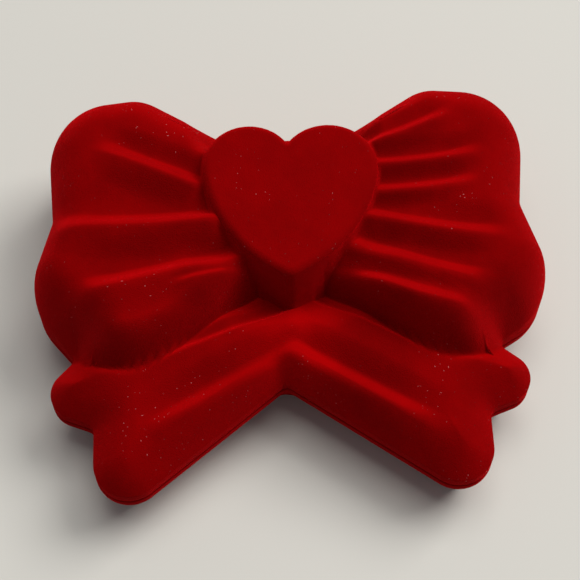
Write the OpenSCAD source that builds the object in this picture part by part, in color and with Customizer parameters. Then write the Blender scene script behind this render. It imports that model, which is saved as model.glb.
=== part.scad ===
// Flocked jewelry box in the shape of a ribbon bow with a heart on its knot.
// Plan: +X to the right of the bow, +Y to the rear where the hinge is, +Z up.

/* [Shells] */
// Height of the seam between base and lid
seam_z = 12; // [11:0.5:14]
// Gap that the flock leaves between the two rims
seam_gap = 0.15; // [0.15:0.05:0.3]
// Wall of both shells at the seam
wall = 1.7; // [1.5:0.1:2]
// Thickness of the base floor
floor_t = 1.8; // [1.4:0.1:2.2]
// Straight band under the rim of the base
rim_band = 1.6; // [1:0.1:2.2]
// How far the base draws in below that band
base_taper = 3.4; // [2.8:0.1:3.8]
// Radius of the edge that the base stands on
foot_r = 1.4; // [0.8:0.1:1.8]
// Thickness of the lid's roof, pleats apart
roof_t = 2.4; // [2:0.1:2.8]

/* [Bow outline] */
// Front crotch between the tails, across
crotch_x = -1.4; // [-2:0.2:0]
// Front crotch between the tails, to the front
crotch_y = -17; // [-18:0.5:-15]
// Radius in the crotch
crotch_r = 1.5; // [1:0.1:2.5]
// Corner of a tail, across
tail_x = 33.6; // [33:0.2:35]
// Corner of a tail, to the front
tail_y = -42.2; // [-44:0.2:-41]
// Radius of a tail's tip
tail_r = 6; // [5:0.5:7]
// How much further out the left tail reaches
left_tail_out = 1.2; // [0:0.2:1.6]
// How much further to the front the left tail reaches
left_tail_front = 1; // [0:0.2:1.4]
// Nick in the side of a tail, to the front
nick_y = -23.8; // [-25:0.2:-23]
// Radius in that nick
nick_r = 2; // [1:0.5:3]
// Corner of a tail's side lobe, across
lobe_x = 45.8; // [45:0.2:46.6]
// Corner of a tail's side lobe, to the front
lobe_y = -19.4; // [-20:0.2:-18.6]
// Radius of a tail's side lobe
lobe_r = 4.6; // [4:0.2:5]
// Notch between loop and tail, across
notch_x = 36.2; // [36:0.2:37]
// Notch between loop and tail, to the front
notch_y = -11.6; // [-12:0.2:-11]
// Radius in that notch
notch_r = 0.8; // [0.6:0.1:1.2]
// How much further out the left notch is
left_notch_out = 2; // [0:0.2:2.4]
// Lower corner of a loop, across
loop_x = 47.2; // [46.4:0.2:48]
// Lower corner of a loop, to the rear
loop_y = -5; // [-6:0.5:-3]
// Radius of a loop's lower corner
loop_r = 11; // [9:0.5:12]
// How much narrower the left loop's lower corner is
left_loop_in = 1; // [0:0.2:1.4]
// How much further to the rear the left loop's lower corner is
left_loop_back = 3.2; // [0:0.2:3.6]
// Waist in a loop's side, across
waist_x = 42; // [41.4:0.2:42.6]
// Waist in a loop's side, to the rear
waist_y = 12.4; // [11.6:0.2:13.4]
// Radius in that waist
waist_r = 7; // [5:0.5:9]
// Upper corner of a loop, across
corner_x = 44.8; // [44:0.2:45.6]
// Upper corner of a loop, to the rear
corner_y = 34.8; // [34:0.2:35.6]
// Radius of a loop's upper corner
corner_r = 12; // [10.5:0.5:13]
// How much narrower the left loop's upper corner is
left_corner_in = 1.4; // [0:0.2:1.6]
// Shoulder of a loop's rear edge, across
shoulder_x = 25; // [24:0.5:26.5]
// Shoulder of a loop's rear edge, to the rear
shoulder_y = 36.8; // [36.2:0.2:37.2]
// Radius of that shoulder
shoulder_r = 9; // [7:0.5:10]
// Half width of the straight rear wall behind the heart
rear_x = 16; // [15.5:0.5:16.5]
// Rear wall behind the heart
rear_y = 31; // [30.5:0.5:31.5]
// Radius where that wall meets a loop
rear_r = 3; // [2:0.5:4]

/* [Lid relief] */
// Height of the loops above the seam
loop_rise = 17.6; // [16:0.2:18.4]
// Straight wall of a loop above the seam
loop_wall = 5; // [4:0.5:6]
// Width over which a loop rounds off to its rim
loop_round = 8.5; // [7:0.5:10]
// Height of the tails above the seam, at the foot of the heart
tail_root_rise = 7.6; // [7:0.2:8.4]
// Height of the tails above the seam, at their crest
tail_crest_rise = 9.6; // [9:0.2:10.6]
// Height of the tails above the seam, at their tips
tail_tip_rise = 8; // [7.4:0.2:9]
// Straight wall of a tail above the seam
tail_wall = 2.8; // [2.4:0.1:3.4]
// Width over which a tail rounds off to its rim
tail_round = 4; // [3.5:0.5:6]
// Height of the ledge behind the heart, above the seam
ledge_rise = 9.4; // [9:0.2:10]
// Straight wall of that ledge above the seam
ledge_wall = 3.4; // [3:0.1:3.8]
// Width of the step from loop down to tail
step_w = 3; // [2:0.5:4]
// Fullness of the rounded rims
swell = 2.2; // [1.8:0.1:2.8]

/* [Heart] */
// Height of the heart's face above the seam
heart_rise = 19.6; // [18.6:0.2:21]
// Centre that the pleats run to, to the rear
heart_y = 8; // [7:0.5:9]
// Centre of a heart lobe, across
heart_lobe_x = 6.8; // [6.5:0.1:7.2]
// Centre of a heart lobe, to the rear
heart_lobe_y = 16.6; // [16.2:0.1:17]
// Radius of a heart lobe
heart_lobe_r = 8.6; // [8.4:0.1:9]
// How far both lobes sit to the right of the tip
heart_off = 0.6; // [0:0.1:0.8]
// Radius of the heart's bowed sides
heart_side_r = 26; // [22:1:40]
// Tip of the heart's face, to the front
heart_tip_y = -4.4; // [-4.8:0.1:-3.8]
// Radius of that tip
heart_tip_r = 2.4; // [1.6:0.2:4]
// How far the heart's wall spreads at its foot
heart_spread = 0.8; // [0.6:0.1:1.2]

/* [Hinge] */
// How far inside the loops' rear edge the pin's axis lies
hinge_in = 1; // [0.7:0.1:1]
// Depth of the pin's axis below the seam
hinge_drop = 2.2; // [2:0.1:2.4]
// Outer radius of a knuckle
barrel_r = 1.2; // [1.1:0.05:1.3]
// Radius of a hinge pin
pin_r = 0.6; // [0.4:0.05:0.7]
// Radial clearance of the pin in its knuckles
pin_fit = 0.05; // [0.03:0.01:0.08]
// Length of one knuckle
knuckle_l = 2.8; // [2.6:0.1:3]
// Gap between neighbouring knuckles
knuckle_gap = 0.4; // [0.3:0.1:0.6]
// Inner end of the lid's knuckles
knuckle_start = 4.2; // [4:0.1:4.4]
// Sheet thickness of a leaf
leaf_t = 0.7; // [0.5:0.05:0.8]
// Height of the base leaf's flange
base_flange = 4.5; // [4.2:0.1:4.8]
// Height of the lid leaf's flange
lid_flange = 6.3; // [6:0.1:6.5]
// Depth of the moulded block that a leaf is riveted to
block_d = 4.6; // [4:0.1:5]
// Side clearance of a strap in its rim notch
notch_fit = 0.3; // [0.2:0.05:0.5]
// Distance of a rivet from the middle of its leaf
rivet_x = 7.2; // [6.6:0.2:7.8]
// Radius of a rivet's shank
rivet_r = 0.8; // [0.6:0.05:0.9]
// Radius of a rivet's head
rivet_head_r = 1.5; // [1.2:0.1:1.7]
// Height of a rivet's head
rivet_head_h = 0.7; // [0.5:0.05:0.9]
// Length of a rivet's shank in the block
rivet_l = 2.6; // [2:0.1:3]
// Clearance round a rivet's shank
rivet_fit = 0.05; // [0.03:0.01:0.1]
// Room left in front of the rivet heads
hinge_room = 2; // [1:0.1:3]

/* [Base lining] */
// Gap between the collar and the lid's wall
collar_gap = 0.4; // [0.3:0.05:0.5]
// Thickness of the collar
collar_t = 1.2; // [1:0.1:1.4]
// Height of the collar above the seam
collar_rise = 2; // [1.6:0.1:2.2]
// Inset of the ring pad from the bow's outline
pad_inset = 4.3; // [4.1:0.1:4.5]
// Height of the pad's face below the seam
pad_drop = 1.6; // [1.2:0.1:2]
// Thickness of the pad's card
board_t = 1; // [0.8:0.1:1.4]
// Thickness of the velvet
velvet_t = 0.6; // [0.5:0.05:0.8]
// Gap between soft layers
soft_gap = 0.1; // [0.05:0.05:0.15]
// Radius of a ring roll
roll_r = 3.6; // [3.2:0.1:3.8]
// Length of a ring roll
roll_l = 28; // [24:1:32]
// Middle of the slit between the rolls, to the rear
slit_y = 6; // [4:0.5:8]
// Width of the slit between the rolls
slit_w = 0.4; // [0.3:0.1:0.6]

/* [Lid lining] */
// Width of the satin puff's card
puff_w = 56; // [50:1:58]
// Depth of the satin puff's card
puff_d = 15.6; // [14:0.2:16]
// Middle of the puff, to the rear
puff_y = 12.7; // [12.5:0.1:13]
// Corner radius of the card
puff_r = 6; // [4:0.5:8]
// Height of the card's underside above the seam
puff_rise = 10.6; // [10.2:0.1:11]
// Thickness of the wadding
wadding_t = 2.2; // [1.8:0.1:2.6]
// Thickness of the satin
satin_t = 0.4; // [0.3:0.05:0.5]
// Width of a foam tape pad
tape_w = 8; // [6:0.5:10]
// Depth of a foam tape pad
tape_d = 6; // [5:0.5:7]
// Distance of the tape pads from the middle, across
tape_x = 19; // [18:0.5:20]
// Distance of the tape pads from the middle of the puff, to the rear
tape_y = 4.2; // [3.6:0.2:4.6]

/* [Hidden] */
$fn = 48;

// Finishes
flock_red = [0.48, 0.01, 0.02];
velvet_ivory = [0.9, 0.86, 0.78];
satin_ivory = [0.95, 0.93, 0.88];
foam_grey = [0.75, 0.74, 0.7];
card_brown = [0.6, 0.48, 0.34];
steel_grey = [0.7, 0.7, 0.72];
brass_gold = [0.75, 0.62, 0.32];

// Longest straight facet of the outline, and the least radius of an inset corner
facet = 3.2;
least_r = 0.4;
overlap = 0.4;

// Pleats in plan: start, end, sag to the front, rise, and the runs behind and before the rise
loop_pleats = [
    [[-14.6, 17], [-34, 26.2], 0.2, 2.3, 4, 6.5],
    [[-13, 10.4], [-44, 10.8], 0.8, 2.5, 9, 7],
    [[-10, 2.9], [-41, -3.4], 0.4, 2.4, 6, 7],
    [[-8, -0.5], [-22, -4.8], 0, 0.8, 1.8, 4.5],
    [[15, 23.6], [30.5, 30.2], 0.5, 1.7, 3.2, 4.2],
    [[15.6, 19.2], [36, 21.6], 0.6, 1.8, 3.4, 4],
    [[15.6, 13.8], [35, 15.8], 0.6, 1.8, 3.2, 3.8],
    [[14.2, 9.3], [40, 4.1], 0.4, 2, 4.8, 4.8],
    [[11, 4.4], [38, -5], 0.6, 2.2, 4.8, 5.2],
    [[6.4, 0.2], [38, -10.2], 0.6, 2.2, 4.8, 6.5]
];
tail_pleats = [
    [[-1, -4.8], [-26, -14.6], 0.4, 0.9, 2, 8],
    [[-5, -13.4], [-29, -26.4], 0, 2, 4.5, 7],
    [[3, -2.2], [26, -15.6], 0.4, 0.6, 2, 8],
    [[3.4, -12.8], [28, -27.4], 0.3, 2, 4.5, 7]
];
step_line = [2, -2, -22.4, -11.2];
step_span = 37.2;

function unit(v) = v / norm(v);
function mix(a, b, t) = a + (b - a) * t;
function smooth(u) = let (t = min(max(u, 0), 1)) t * t * (3 - 2 * t);
function left_of(v) = [-v.y, v.x];
function flat(p) = [p.x, p.y];
function turned(v, a) = [v.x * cos(a) - v.y * sin(a), v.x * sin(a) + v.y * cos(a)];
function last(list) = list[len(list) - 1];
function raised(points, z) = [for (p = points) [p.x, p.y, z]];

// Corners of one side from tail to rear wall; s is 1 on the right and -1 on the left
function bow_side(s) =
    let (left = (1 - s) / 2)
    [
        [s * (tail_x + left * left_tail_out), tail_y - left * left_tail_front, tail_r],
        [s * (tail_x + left * left_tail_out), nick_y, nick_r],
        [s * lobe_x, lobe_y, lobe_r],
        [s * (notch_x + left * left_notch_out), notch_y, notch_r],
        [s * (loop_x - left * left_loop_in), loop_y + left * left_loop_back, loop_r],
        [s * waist_x, waist_y, waist_r],
        [s * (corner_x - left * left_corner_in), corner_y, corner_r],
        [s * shoulder_x, shoulder_y, shoulder_r],
        [s * rear_x, rear_y, rear_r]
    ];
bow_left = bow_side(-1);
bow_corners = concat(
    [[crotch_x, crotch_y, crotch_r]],
    bow_side(1),
    [for (i = [len(bow_left) - 1:-1:0]) bow_left[i]]
);
corner_count = len(bow_corners);
corner_ids = [0:corner_count - 1];
function after(i) = (i + 1) % corner_count;
function before(i) = (i + corner_count - 1) % corner_count;

// Corner i moved inwards by e along both of its edges
function inset_corner(i, e) =
    let (
        p = flat(bow_corners[i]),
        way_in = p - flat(bow_corners[before(i)]),
        way_out = flat(bow_corners[after(i)]) - p,
        n_in = left_of(unit(way_in)),
        n_out = left_of(unit(way_out)),
        q = p + (n_in + n_out) * e / (1 + n_in * n_out),
        r = bow_corners[i][2],
        convex = cross(way_in, way_out) > 0
    )
    [q.x, q.y, convex ? max(r - e, least_r) : r + e];

// Points of the arc that rounds corner p between its neighbours a and b
function corner_arc(a, p, b, steps) =
    let (
        u = unit(flat(a) - flat(p)),
        v = unit(flat(b) - flat(p)),
        half = acos(u * v) / 2,
        centre = flat(p) + unit(u + v) * p[2] / sin(half),
        start = flat(p) + u * p[2] / tan(half) - centre,
        turn = -sign(cross(u, v)) * (180 - 2 * half)
    )
    [for (k = [0:steps]) centre + turned(start, turn * k / steps)];

function turn_at(i) =
    let (
        p = flat(bow_corners[i]),
        u = unit(flat(bow_corners[before(i)]) - p),
        v = unit(flat(bow_corners[after(i)]) - p)
    )
    180 - acos(u * v);
arc_steps = [for (i = corner_ids) max(2, round(turn_at(i) / 90 * (2 + 0.35 * bow_corners[i][2])))];

function bow_arcs(e) =
    let (c = [for (i = corner_ids) inset_corner(i, e)])
    [for (i = corner_ids) corner_arc(c[before(i)], c[i], c[after(i)], arc_steps[i])];
plain_arcs = bow_arcs(0);
edge_steps = [for (i = corner_ids) floor(norm(plain_arcs[after(i)][0] - last(plain_arcs[i])) / facet)];

// Outline of the bow, inset by e, always with the same number of points
function bow_outline(e) =
    let (arcs = bow_arcs(e))
    [for (i = corner_ids) each concat(
        arcs[i],
        [for (k = [1:1:edge_steps[i]])
            mix(last(arcs[i]), arcs[after(i)][0], k / (edge_steps[i] + 1))]
    )];
rim = bow_outline(0);
rim_count = len(rim);
rim_ids = [0:rim_count - 1];

// Place of the hinge, and the shift that brings the box over its origin
hinge_y = max([for (p = rim) p.y]) - hinge_in;
hinge_z = seam_z - hinge_drop;
shift = [
    -(max([for (p = rim) p.x]) + min([for (p = rim) p.x])) / 2,
    -(hinge_y + barrel_r + min([for (p = rim) p.y])) / 2,
    0
];
lid_z = seam_z + seam_gap;

// Heart: arcs of a tip, two bowed sides and two lobes, each tangent to the next
heart_c = [0, heart_y];
cleft_a = acos(-heart_lobe_x / heart_lobe_r);
function heading(v) = atan2(v.y, v.x);
function arc_points(c, r, a, b, ks) = [for (k = ks) c + turned([r, 0], mix(a, b, k))];
// Outline from the tip to the cleft; s is 1 on the right, and -1 for the left before it is mirrored
function heart_side(s) =
    let (
        lobe_c = [heart_lobe_x + s * heart_off, heart_lobe_y],
        tip_c = [0, heart_tip_y + heart_tip_r],
        way = lobe_c - tip_c,
        lobe_gap = heart_side_r - heart_lobe_r,
        tip_gap = heart_side_r - heart_tip_r,
        along = (way * way + tip_gap * tip_gap - lobe_gap * lobe_gap) / (2 * norm(way)),
        aside = sqrt(tip_gap * tip_gap - along * along),
        side_c = tip_c + unit(way) * along + left_of(unit(way)) * aside,
        tip_a = heading(tip_c - side_c),
        lobe_a = heading(lobe_c - side_c)
    )
    concat(
        arc_points(tip_c, heart_tip_r, -90, tip_a, [0:0.25:1]),
        arc_points(side_c, heart_side_r, tip_a, lobe_a, [0.1:0.1:1]),
        arc_points(lobe_c, heart_lobe_r, lobe_a, cleft_a, [0.05:0.05:1])
    );
heart_left = heart_side(-1);
heart_outline = concat(
    heart_side(1),
    [for (i = [len(heart_left) - 2:-1:1]) [-heart_left[i].x, heart_left[i].y]]
);

// Distance from the heart's centre to its outline in direction u
function heart_reach(u) =
    max([for (i = [0:len(heart_outline) - 1])
        let (
            a = heart_outline[i] - heart_c,
            ab = heart_outline[(i + 1) % len(heart_outline)] - heart_c - a,
            den = cross(u, ab)
        )
        if (abs(den) > 0.000001)
            let (t = cross(a, ab) / den, s = cross(a, u) / den)
            if (t > 0 && s > -0.001 && s < 1.001) t]);
rim_dirs = [for (p = rim) unit(p - heart_c)];
heart_reaches = [for (u = rim_dirs) heart_reach(u)];
// Point of the heart's wall on ray i, spread by g
function heart_point(i, g) = heart_c + rim_dirs[i] * (heart_reaches[i] + g);

// Shortest distance from p to the rim
function edge_distance(p, a, b) =
    let (ab = b - a, t = min(max((p - a) * ab / (ab * ab), 0), 1))
    norm(p - a - ab * t);
function rim_distance(p) =
    min([for (i = rim_ids) edge_distance(p, rim[i], rim[(i + 1) % rim_count])]);

// Relief of the lid: where it falls to the ledge and along the tails, and where the pleats end
ledge_start = 12;
ledge_fall = 6;
ledge_out = 2;
ledge_side = 8.5;
tail_start = 12;
tail_climb = 11;
tail_crest = 26;
tail_fall = 26;
pleat_margin = 4;
function pillow(d, width) = pow(1 - pow(1 - min(max(d, 0) / width, 1), swell), 1 / swell);
function step_at(x) =
    let (t = min(abs(x) / step_span, 1), k = 1 - t)
    step_line[0] * k * k * k + 3 * step_line[1] * k * k * t
    + 3 * step_line[2] * k * t * t + step_line[3] * t * t * t;
function past_step(p) = p.y - step_at(p.x);
function behind_heart(p) =
    smooth((rear_x + ledge_out - abs(p.x)) / ledge_side) * smooth((p.y - heart_y - ledge_start) / ledge_fall);
function swelling(low, high, d, width) = low + (high - low) * pillow(d, width);
function tail_rise(p) =
    let (away = norm(p - heart_c))
    mix(tail_root_rise, tail_crest_rise, smooth((away - tail_start) / tail_climb))
    - (tail_crest_rise - tail_tip_rise) * smooth((away - tail_crest) / tail_fall);
// Height over the seam at p, d inside the rim, with s as the share of loop against tail
function crown(p, d, s) =
    let (
        loop = swelling(loop_wall, loop_rise, d, loop_round),
        ledge = swelling(ledge_wall, ledge_rise, d, loop_round),
        tail = swelling(tail_wall, tail_rise(p), d, tail_round)
    )
    mix(tail, mix(loop, ledge, behind_heart(p)), s);
// A pleat falls slowly to its line from behind, steps up there and falls slowly again before it
pleat_step = 1.8;
function pleat(p, f) =
    let (
        run = f[1] - f[0],
        u = (p - f[0]) * run / (run * run),
        off = cross(unit(run), p - f[0]) * sign(run.x) + 4 * f[2] * max(u * (1 - u), 0),
        up = smooth(0.1 - off / (pleat_step * f[3])),
        fade = smooth((u + 0.12) / 0.16) * smooth((1 - u) / 0.4)
    )
    f[3] * fade * (0.55 * up * smooth(1 + off / f[5]) - 0.45 * (1 - up) * smooth(1 - off / f[4]));
function pleats_at(p, pleats) = [for (f = pleats) pleat(p, f)] * [for (f = pleats) 1];
function relief(p, d) =
    let (s = smooth(past_step(p) / step_w + 0.5))
    crown(p, d, s) + smooth(d / pleat_margin) * mix(pleats_at(p, tail_pleats), pleats_at(p, loop_pleats), s);
function roof(p, d) = seam_z + relief(p, d);
// Underside of the roof, whose step lies well inside the loops
ceiling_back = 1;
ceiling_step = 3.5;
function ceiling(p, d) =
    seam_z + crown(p, d - wall, smooth((past_step(p) - ceiling_back) / ceiling_step))
    - roof_t * (0.5 + 0.5 * smooth((d - wall) / 3));

// Share of the way from a to b at which the step is crossed; the last share where it isn't
scan = 40;
last_share = 0.88;
function crossing(a, b) =
    let (
        heights = [for (k = [0:scan]) past_step(mix(a, b, k / scan))],
        hits = [for (k = [1:scan]) if (heights[k] < 0) k]
    )
    len(hits) == 0 ? last_share
    : let (k = hits[0], t = (k - 1 + heights[k - 1] / (heights[k - 1] - heights[k])) / scan)
      min(max(t, 1 - last_share), last_share);
// Shares along a ray that crosses at t, close together at the step
function field_shares(t, half) =
    let (lo = max(t - half, 0.06), hi = min(t + half, 0.94))
    [lo * 0.2, lo * 0.4, lo * 0.6, lo * 0.8, lo, hi, mix(hi, 1, 0.3), mix(hi, 1, 0.62)];

// Rings of the lid from the heart's face over the rim to the ceiling
rim_insets = [4, 2.6, 1.5, 0.7, 0.2, 0];
heart_profile = [[-5, -0.05], [-1.4, -0.1], [-0.6, -0.35], [-0.15, -0.9], [0.1, -2]];
heart_domed = 0.2;
heart_wall = 1.8;
ceiling_insets = [4, 2.5, wall];
ceiling_shares = [0.3, 0.65];

function heart_rings() =
    [for (h = heart_profile) [for (i = rim_ids)
        let (p = heart_point(i, h[0])) [p.x, p.y, seam_z + heart_rise + h[1]]]];
function field_rings() =
    let (
        inner = [for (i = rim_ids) heart_point(i, heart_spread)],
        outer = bow_outline(rim_insets[0]),
        shares = [for (i = rim_ids)
            field_shares(crossing(inner[i], outer[i]), step_w / 2 / norm(outer[i] - inner[i]))],
        places = concat([inner], [for (k = [0:len(shares[0]) - 1])
            [for (i = rim_ids) mix(inner[i], outer[i], shares[i][k])]])
    )
    [for (ring = places) [for (p = ring) [p.x, p.y, roof(p, rim_distance(p))]]];
function rim_rings() =
    [for (e = rim_insets) [for (p = bow_outline(e)) [p.x, p.y, roof(p, e)]]];
function ceiling_rings() =
    let (
        inner = [for (i = rim_ids) heart_point(i, -heart_wall)],
        outer = bow_outline(ceiling_insets[0]),
        top = [for (i = rim_ids) heart_point(i, -heart_wall - heart_spread)],
        places = [for (t = ceiling_shares) [for (i = rim_ids) mix(outer[i], inner[i], t)]]
    )
    concat(
        [for (k = [len(ceiling_insets) - 1:-1:0])
            [for (p = bow_outline(ceiling_insets[k])) [p.x, p.y, ceiling(p, ceiling_insets[k])]]],
        [for (ring = places) [for (p = ring) [p.x, p.y, ceiling(p, rim_distance(p))]]],
        [[for (p = inner) [p.x, p.y, ceiling(p, rim_distance(p))]],
         raised(top, seam_z + heart_rise - heart_wall)]
    );

// Closed skin over rings of equal count, between a first and a last point
module skin(first, rings, final) {
    n = len(rings[0]);
    points = concat([first], [for (ring = rings) each ring], [final]);
    end = len(points) - 1;
    faces = concat(
        [for (i = [0:n - 1]) [0, 1 + (i + 1) % n, 1 + i]],
        [for (k = [0:len(rings) - 2], i = [0:n - 1])
            let (a = 1 + k * n + i, b = 1 + k * n + (i + 1) % n) each [[a, b, b + n], [a, b + n, a + n]]],
        [for (i = [0:n - 1]) [end, end - n + i, end - n + (i + 1) % n]]
    );
    polyhedron(points, faces);
}

// Hinge: where the two pairs of straps start, the block behind the leaves and the rivets
lid_strap = knuckle_start;
base_strap = lid_strap + knuckle_l + knuckle_gap;
hinge_end = base_strap + knuckle_l;
block_front = rear_y - block_d;
hinge_front = block_front - leaf_t - rivet_head_h - hinge_room;
block_margin = 0.5;
block_w = 2 * (hinge_end + block_margin);
rivet_margin = 0.8;
rivet_edge = rivet_head_r + rivet_margin;
base_rivet_z = barrel_r + base_flange - rivet_edge;
lid_rivet_z = barrel_r + lid_flange - rivet_edge;

module both_sides() {
    children();
    mirror([1, 0, 0]) children();
}

// Upper or lower half of what lies mirrored about the hinge's axis; up is 1 or -1
module from_axis(up) {
    translate([0, 0, hinge_z]) mirror([0, 0, up > 0 ? 0 : 1]) children();
}

module rivet_holes(z) {
    both_sides()
        translate([rivet_x, block_front - leaf_t - overlap, z])
            rotate([-90, 0, 0])
                cylinder(r = rivet_r + rivet_fit, h = leaf_t + overlap + rivet_l + rivet_fit);
}

// Notch down through the rear wall's rim, from height z
module strap_notch(strap, z) {
    both_sides()
        translate([strap - notch_fit, block_front, z])
            cube([knuckle_l + 2 * notch_fit, block_d + overlap, seam_z]);
}

module leaf(strap, flange, rivet_z) {
    difference() {
        union() {
            translate([-block_w / 2, block_front - leaf_t, barrel_r - leaf_t])
                cube([block_w, leaf_t, flange + leaf_t]);
            both_sides() {
                translate([strap, block_front - leaf_t, barrel_r - leaf_t])
                    cube([knuckle_l, hinge_y - block_front + leaf_t, leaf_t]);
                translate([strap, hinge_y, 0])
                    rotate([0, 90, 0]) cylinder(r = barrel_r, h = knuckle_l);
            }
        }
        both_sides()
            translate([strap - overlap, hinge_y, 0])
                rotate([0, 90, 0]) cylinder(r = pin_r + pin_fit, h = knuckle_l + 2 * overlap);
        rivet_holes(rivet_z);
    }
}

module rivets(rivet_z) {
    both_sides()
        translate([rivet_x, block_front - leaf_t, rivet_z]) {
            rotate([-90, 0, 0]) cylinder(r = rivet_r, h = leaf_t + rivet_l);
            rotate([90, 0, 0]) cylinder(r1 = rivet_head_r, r2 = rivet_head_r * 0.6, h = rivet_head_h);
        }
}

// Base tray
inner_draft = 0.2;
inner_taper = base_taper - inner_draft;
floor_fillet = 0.8;
foot_mid = foot_r * (1 - sqrt(0.5));
wall_drop = seam_z - rim_band - floor_t - floor_fillet;
// Height at which the base's inner face has come in to inset e
function seat_z(e) = seam_z - rim_band - (e - wall) / inner_taper * wall_drop;
// Rear of the block that follows the middle of the base's wall at height z
band_z = seam_z - rim_band;
function block_rear(z) =
    rear_y - wall / 2 - base_taper * max(band_z - z, 0) / (band_z - foot_r);

module base_block() {
    high = hinge_z - barrel_r;
    low = high - base_flange;
    translate([-block_w / 2, 0, 0]) rotate([90, 0, 90]) linear_extrude(block_w)
        polygon([[block_front, low], [block_rear(low), low], [block_rear(high), high], [block_front, high]]);
}

module base_shell() {
    rings = [
        raised(bow_outline(wall + inner_taper + floor_fillet), floor_t),
        raised(bow_outline(wall + inner_taper), floor_t + floor_fillet),
        raised(bow_outline(wall), seam_z - rim_band),
        raised(bow_outline(wall), seam_z),
        raised(rim, seam_z),
        raised(rim, seam_z - rim_band),
        raised(bow_outline(base_taper), foot_r),
        raised(bow_outline(base_taper + foot_mid), foot_mid),
        raised(bow_outline(base_taper + foot_r), 0)
    ];
    color(flock_red) translate(shift) difference() {
        union() {
            skin([heart_c.x, heart_c.y, floor_t], rings, [heart_c.x, heart_c.y, 0]);
            base_block();
        }
        strap_notch(base_strap, hinge_z - barrel_r);
        strap_notch(lid_strap, hinge_z + barrel_r - leaf_t - notch_fit);
        from_axis(-1) rivet_holes(base_rivet_z);
    }
}

module base_collar() {
    outer = wall + collar_gap;
    low = seat_z(outer) + soft_gap;
    color(flock_red) translate(shift) translate([0, 0, low]) difference() {
        linear_extrude(seam_z + collar_rise - low) difference() {
            polygon(bow_outline(outer));
            polygon(bow_outline(outer + collar_t));
        }
        translate([-rear_x - collar_t, hinge_front, -overlap])
            cube([2 * (rear_x + collar_t), rear_y - hinge_front, seam_z]);
    }
}

// Ring pad: card, foam and velvet, cut away at the hinge
pad_z = seat_z(pad_inset) + 2 * soft_gap;
board_z = pad_z + board_t;
pad_top = seam_z - pad_drop;
slot_d = 4 * roll_r + slit_w;

module pad_plan(e, slot_edge) {
    difference() {
        polygon(bow_outline(e));
        translate([-rear_x - e + pad_inset, hinge_front - e + pad_inset])
            square([2 * (rear_x + e - pad_inset), rear_y - hinge_front]);
        if (slot_edge > 0)
            translate([-roll_l / 2 - slot_edge, slit_y - slot_d / 2 - slot_edge])
                square([roll_l + 2 * slot_edge, slot_d + 2 * slot_edge]);
    }
}

module pad_board() {
    color(card_brown) translate(shift) translate([0, 0, pad_z])
        linear_extrude(board_t) pad_plan(pad_inset, 0);
}

module pad_foam() {
    color(foam_grey) translate(shift) translate([0, 0, board_z])
        linear_extrude(pad_top - velvet_t - soft_gap - board_z)
            pad_plan(pad_inset + velvet_t + soft_gap, velvet_t + 3 * soft_gap);
}

module pad_cover() {
    color(velvet_ivory) translate(shift) translate([0, 0, board_z]) difference() {
        linear_extrude(pad_top - board_z) pad_plan(pad_inset, soft_gap);
        translate([0, 0, -overlap]) linear_extrude(pad_top - velvet_t - board_z + overlap)
            pad_plan(pad_inset + velvet_t, velvet_t + 2 * soft_gap);
    }
}

// Ring rolls: a foam core in a velvet sleeve; side is -1 for the front roll
module along_roll(side) {
    translate(shift)
        translate([-roll_l / 2, slit_y + side * (roll_r + slit_w / 2), board_z + roll_r])
            rotate([0, 90, 0]) children();
}

module roll_foam(side) {
    color(foam_grey) along_roll(side) cylinder(r = roll_r - velvet_t - soft_gap, h = roll_l);
}

module roll_cover(side) {
    color(velvet_ivory) along_roll(side) difference() {
        cylinder(r = roll_r, h = roll_l);
        translate([0, 0, -overlap]) cylinder(r = roll_r - velvet_t, h = roll_l + 2 * overlap);
    }
}

module front_roll_foam() { roll_foam(-1); }
module front_roll_cover() { roll_cover(-1); }
module rear_roll_foam() { roll_foam(1); }
module rear_roll_cover() { roll_cover(1); }

// Hinge pieces
module hinge_base_leaf() {
    color(brass_gold) translate(shift) from_axis(-1) leaf(base_strap, base_flange, base_rivet_z);
}

module hinge_lid_leaf() {
    color(brass_gold) translate(shift) from_axis(1) leaf(lid_strap, lid_flange, lid_rivet_z);
}

module base_leaf_rivets() { color(steel_grey) translate(shift) from_axis(-1) rivets(base_rivet_z); }
module lid_leaf_rivets() { color(steel_grey) translate(shift) from_axis(1) rivets(lid_rivet_z); }

module hinge_pins() {
    color(steel_grey) translate(shift) both_sides() translate([lid_strap, hinge_y, hinge_z])
        rotate([0, 90, 0]) cylinder(r = pin_r, h = hinge_end - lid_strap);
}

// Lid
module lid_shell() {
    rings = concat(
        heart_rings(),
        field_rings(),
        rim_rings(),
        [raised(rim, lid_z), raised(bow_outline(wall), lid_z)],
        ceiling_rings()
    );
    color(flock_red) translate(shift) difference() {
        union() {
            skin([heart_c.x, heart_c.y, seam_z + heart_rise + heart_domed], rings,
                 [heart_c.x, heart_c.y, seam_z + heart_rise - heart_wall]);
            translate([-block_w / 2, block_front, lid_z + overlap])
                cube([block_w, block_d - wall + overlap, hinge_z + barrel_r + lid_flange - lid_z - overlap]);
        }
        from_axis(1) rivet_holes(lid_rivet_z);
    }
}

// Lining of the lid: satin over wadding on a card that hangs on foam tape
puff_z = seam_z + puff_rise;
puff_low = puff_z - wadding_t - satin_t - soft_gap;
ceiling_z = seam_z + loop_rise - roof_t;

module puff_plate(grow, h) {
    w = puff_w + 2 * grow;
    d = puff_d + 2 * grow;
    r = puff_r + grow;
    translate([0, puff_y]) linear_extrude(h) {
        square([w - 2 * r, d], center = true);
        square([w, d - 2 * r], center = true);
        for (sx = [-1, 1], sy = [-1, 1]) translate([sx * (w / 2 - r), sy * (d / 2 - r)]) circle(r = r);
    }
}

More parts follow.
